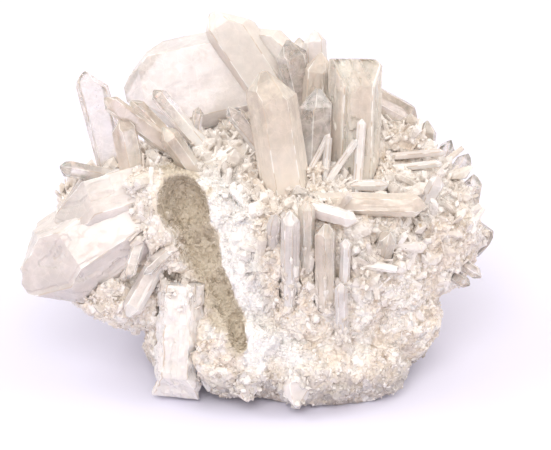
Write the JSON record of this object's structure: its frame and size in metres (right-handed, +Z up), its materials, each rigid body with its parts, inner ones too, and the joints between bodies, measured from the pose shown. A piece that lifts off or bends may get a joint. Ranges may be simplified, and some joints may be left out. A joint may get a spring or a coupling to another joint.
{
  "type": "quartz crystal cluster",
  "caption": "Hand-sized cluster of clear, milky and faintly smoky quartz points grown from a rough white and tan quartz matrix with one deep slanting cavity.",
  "frame": {"origin": "middle of the footprint, at the height of the surface that the cluster rests on", "axes": "+X along the longest side, towards the rounded end away from the large milky block; +Y to the back; +Z up. The open front face with the cavity looks along -Y"},
  "size_m": [0.1208, 0.0804, 0.0844],
  "materials": {
    "clear_quartz": "polished",
    "milky_quartz": "satin",
    "smoky_quartz": "polished",
    "matrix_quartz": "matte"
  },
  "bodies": {
    "root": {"tabular_crystal": "clear_quartz", "tabular_crystal_step": "clear_quartz", "back_plate_crystal": "milky_quartz", "back_crown_crystal": "clear_quartz", "back_crown_tip_crystal": "smoky_quartz", "frosted_crystal": "milky_quartz", "tower_crystal": "smoky_quartz", "tower_left_crystal": "smoky_quartz", "tower_front_crystal": "clear_quartz", "dark_tip_crystal": "smoky_quartz", "needle_crystal_1": "milky_quartz", "needle_crystal_2": "milky_quartz", "needle_crystal_3": "milky_quartz", "needle_crystal_4": "milky_quartz", "ledge_crystal_1": "clear_quartz", "ledge_crystal_2": "clear_quartz", "ledge_crystal_3": "clear_quartz", "ledge_crystal_4": "smoky_quartz", "ledge_crystal_5": "smoky_quartz", "ledge_crystal_6": "smoky_quartz", "ledge_crystal_7": "smoky_quartz", "window_crystal": "clear_quartz", "rim_crystal": "clear_quartz", "left_block_crystal": "milky_quartz", "left_shoulder_crystal": "milky_quartz", "left_nub_crystal": "milky_quartz", "recess_crystal_1": "clear_quartz", "recess_crystal_2": "clear_quartz", "recess_crystal_3": "milky_quartz", "foot_crystal": "milky_quartz", "foot_side_crystal": "milky_quartz", "base_crystal_1": "milky_quartz", "base_crystal_2": "milky_quartz", "end_crystal_1": "smoky_quartz", "end_crystal_2": "clear_quartz", "end_crystal_3": "clear_quartz", "end_crystal_4": "clear_quartz", "end_crystal_5": "clear_quartz", "end_crystal_6": "clear_quartz", "end_crystal_7": "smoky_quartz", "lean_crystal": "smoky_quartz", "shelf_crystal_1": "milky_quartz", "shelf_crystal_2": "milky_quartz", "shelf_crystal_3": "smoky_quartz", "shelf_crystal_4": "milky_quartz", "shelf_crystal_5": "milky_quartz", "wedge_crystal": "milky_quartz", "column_crystal_1": "milky_quartz", "column_crystal_2": "milky_quartz", "column_crystal_3": "smoky_quartz", "column_crystal_4": "smoky_quartz", "column_crystal_5": "milky_quartz", "column_crystal_6": "milky_quartz", "column_crystal_7": "smoky_quartz", "rear_crystal_1": "milky_quartz", "rear_crystal_2": "clear_quartz", "rear_crystal_3": "smoky_quartz", "quartz_matrix": "matrix_quartz"}
  },
  "joints": []
}
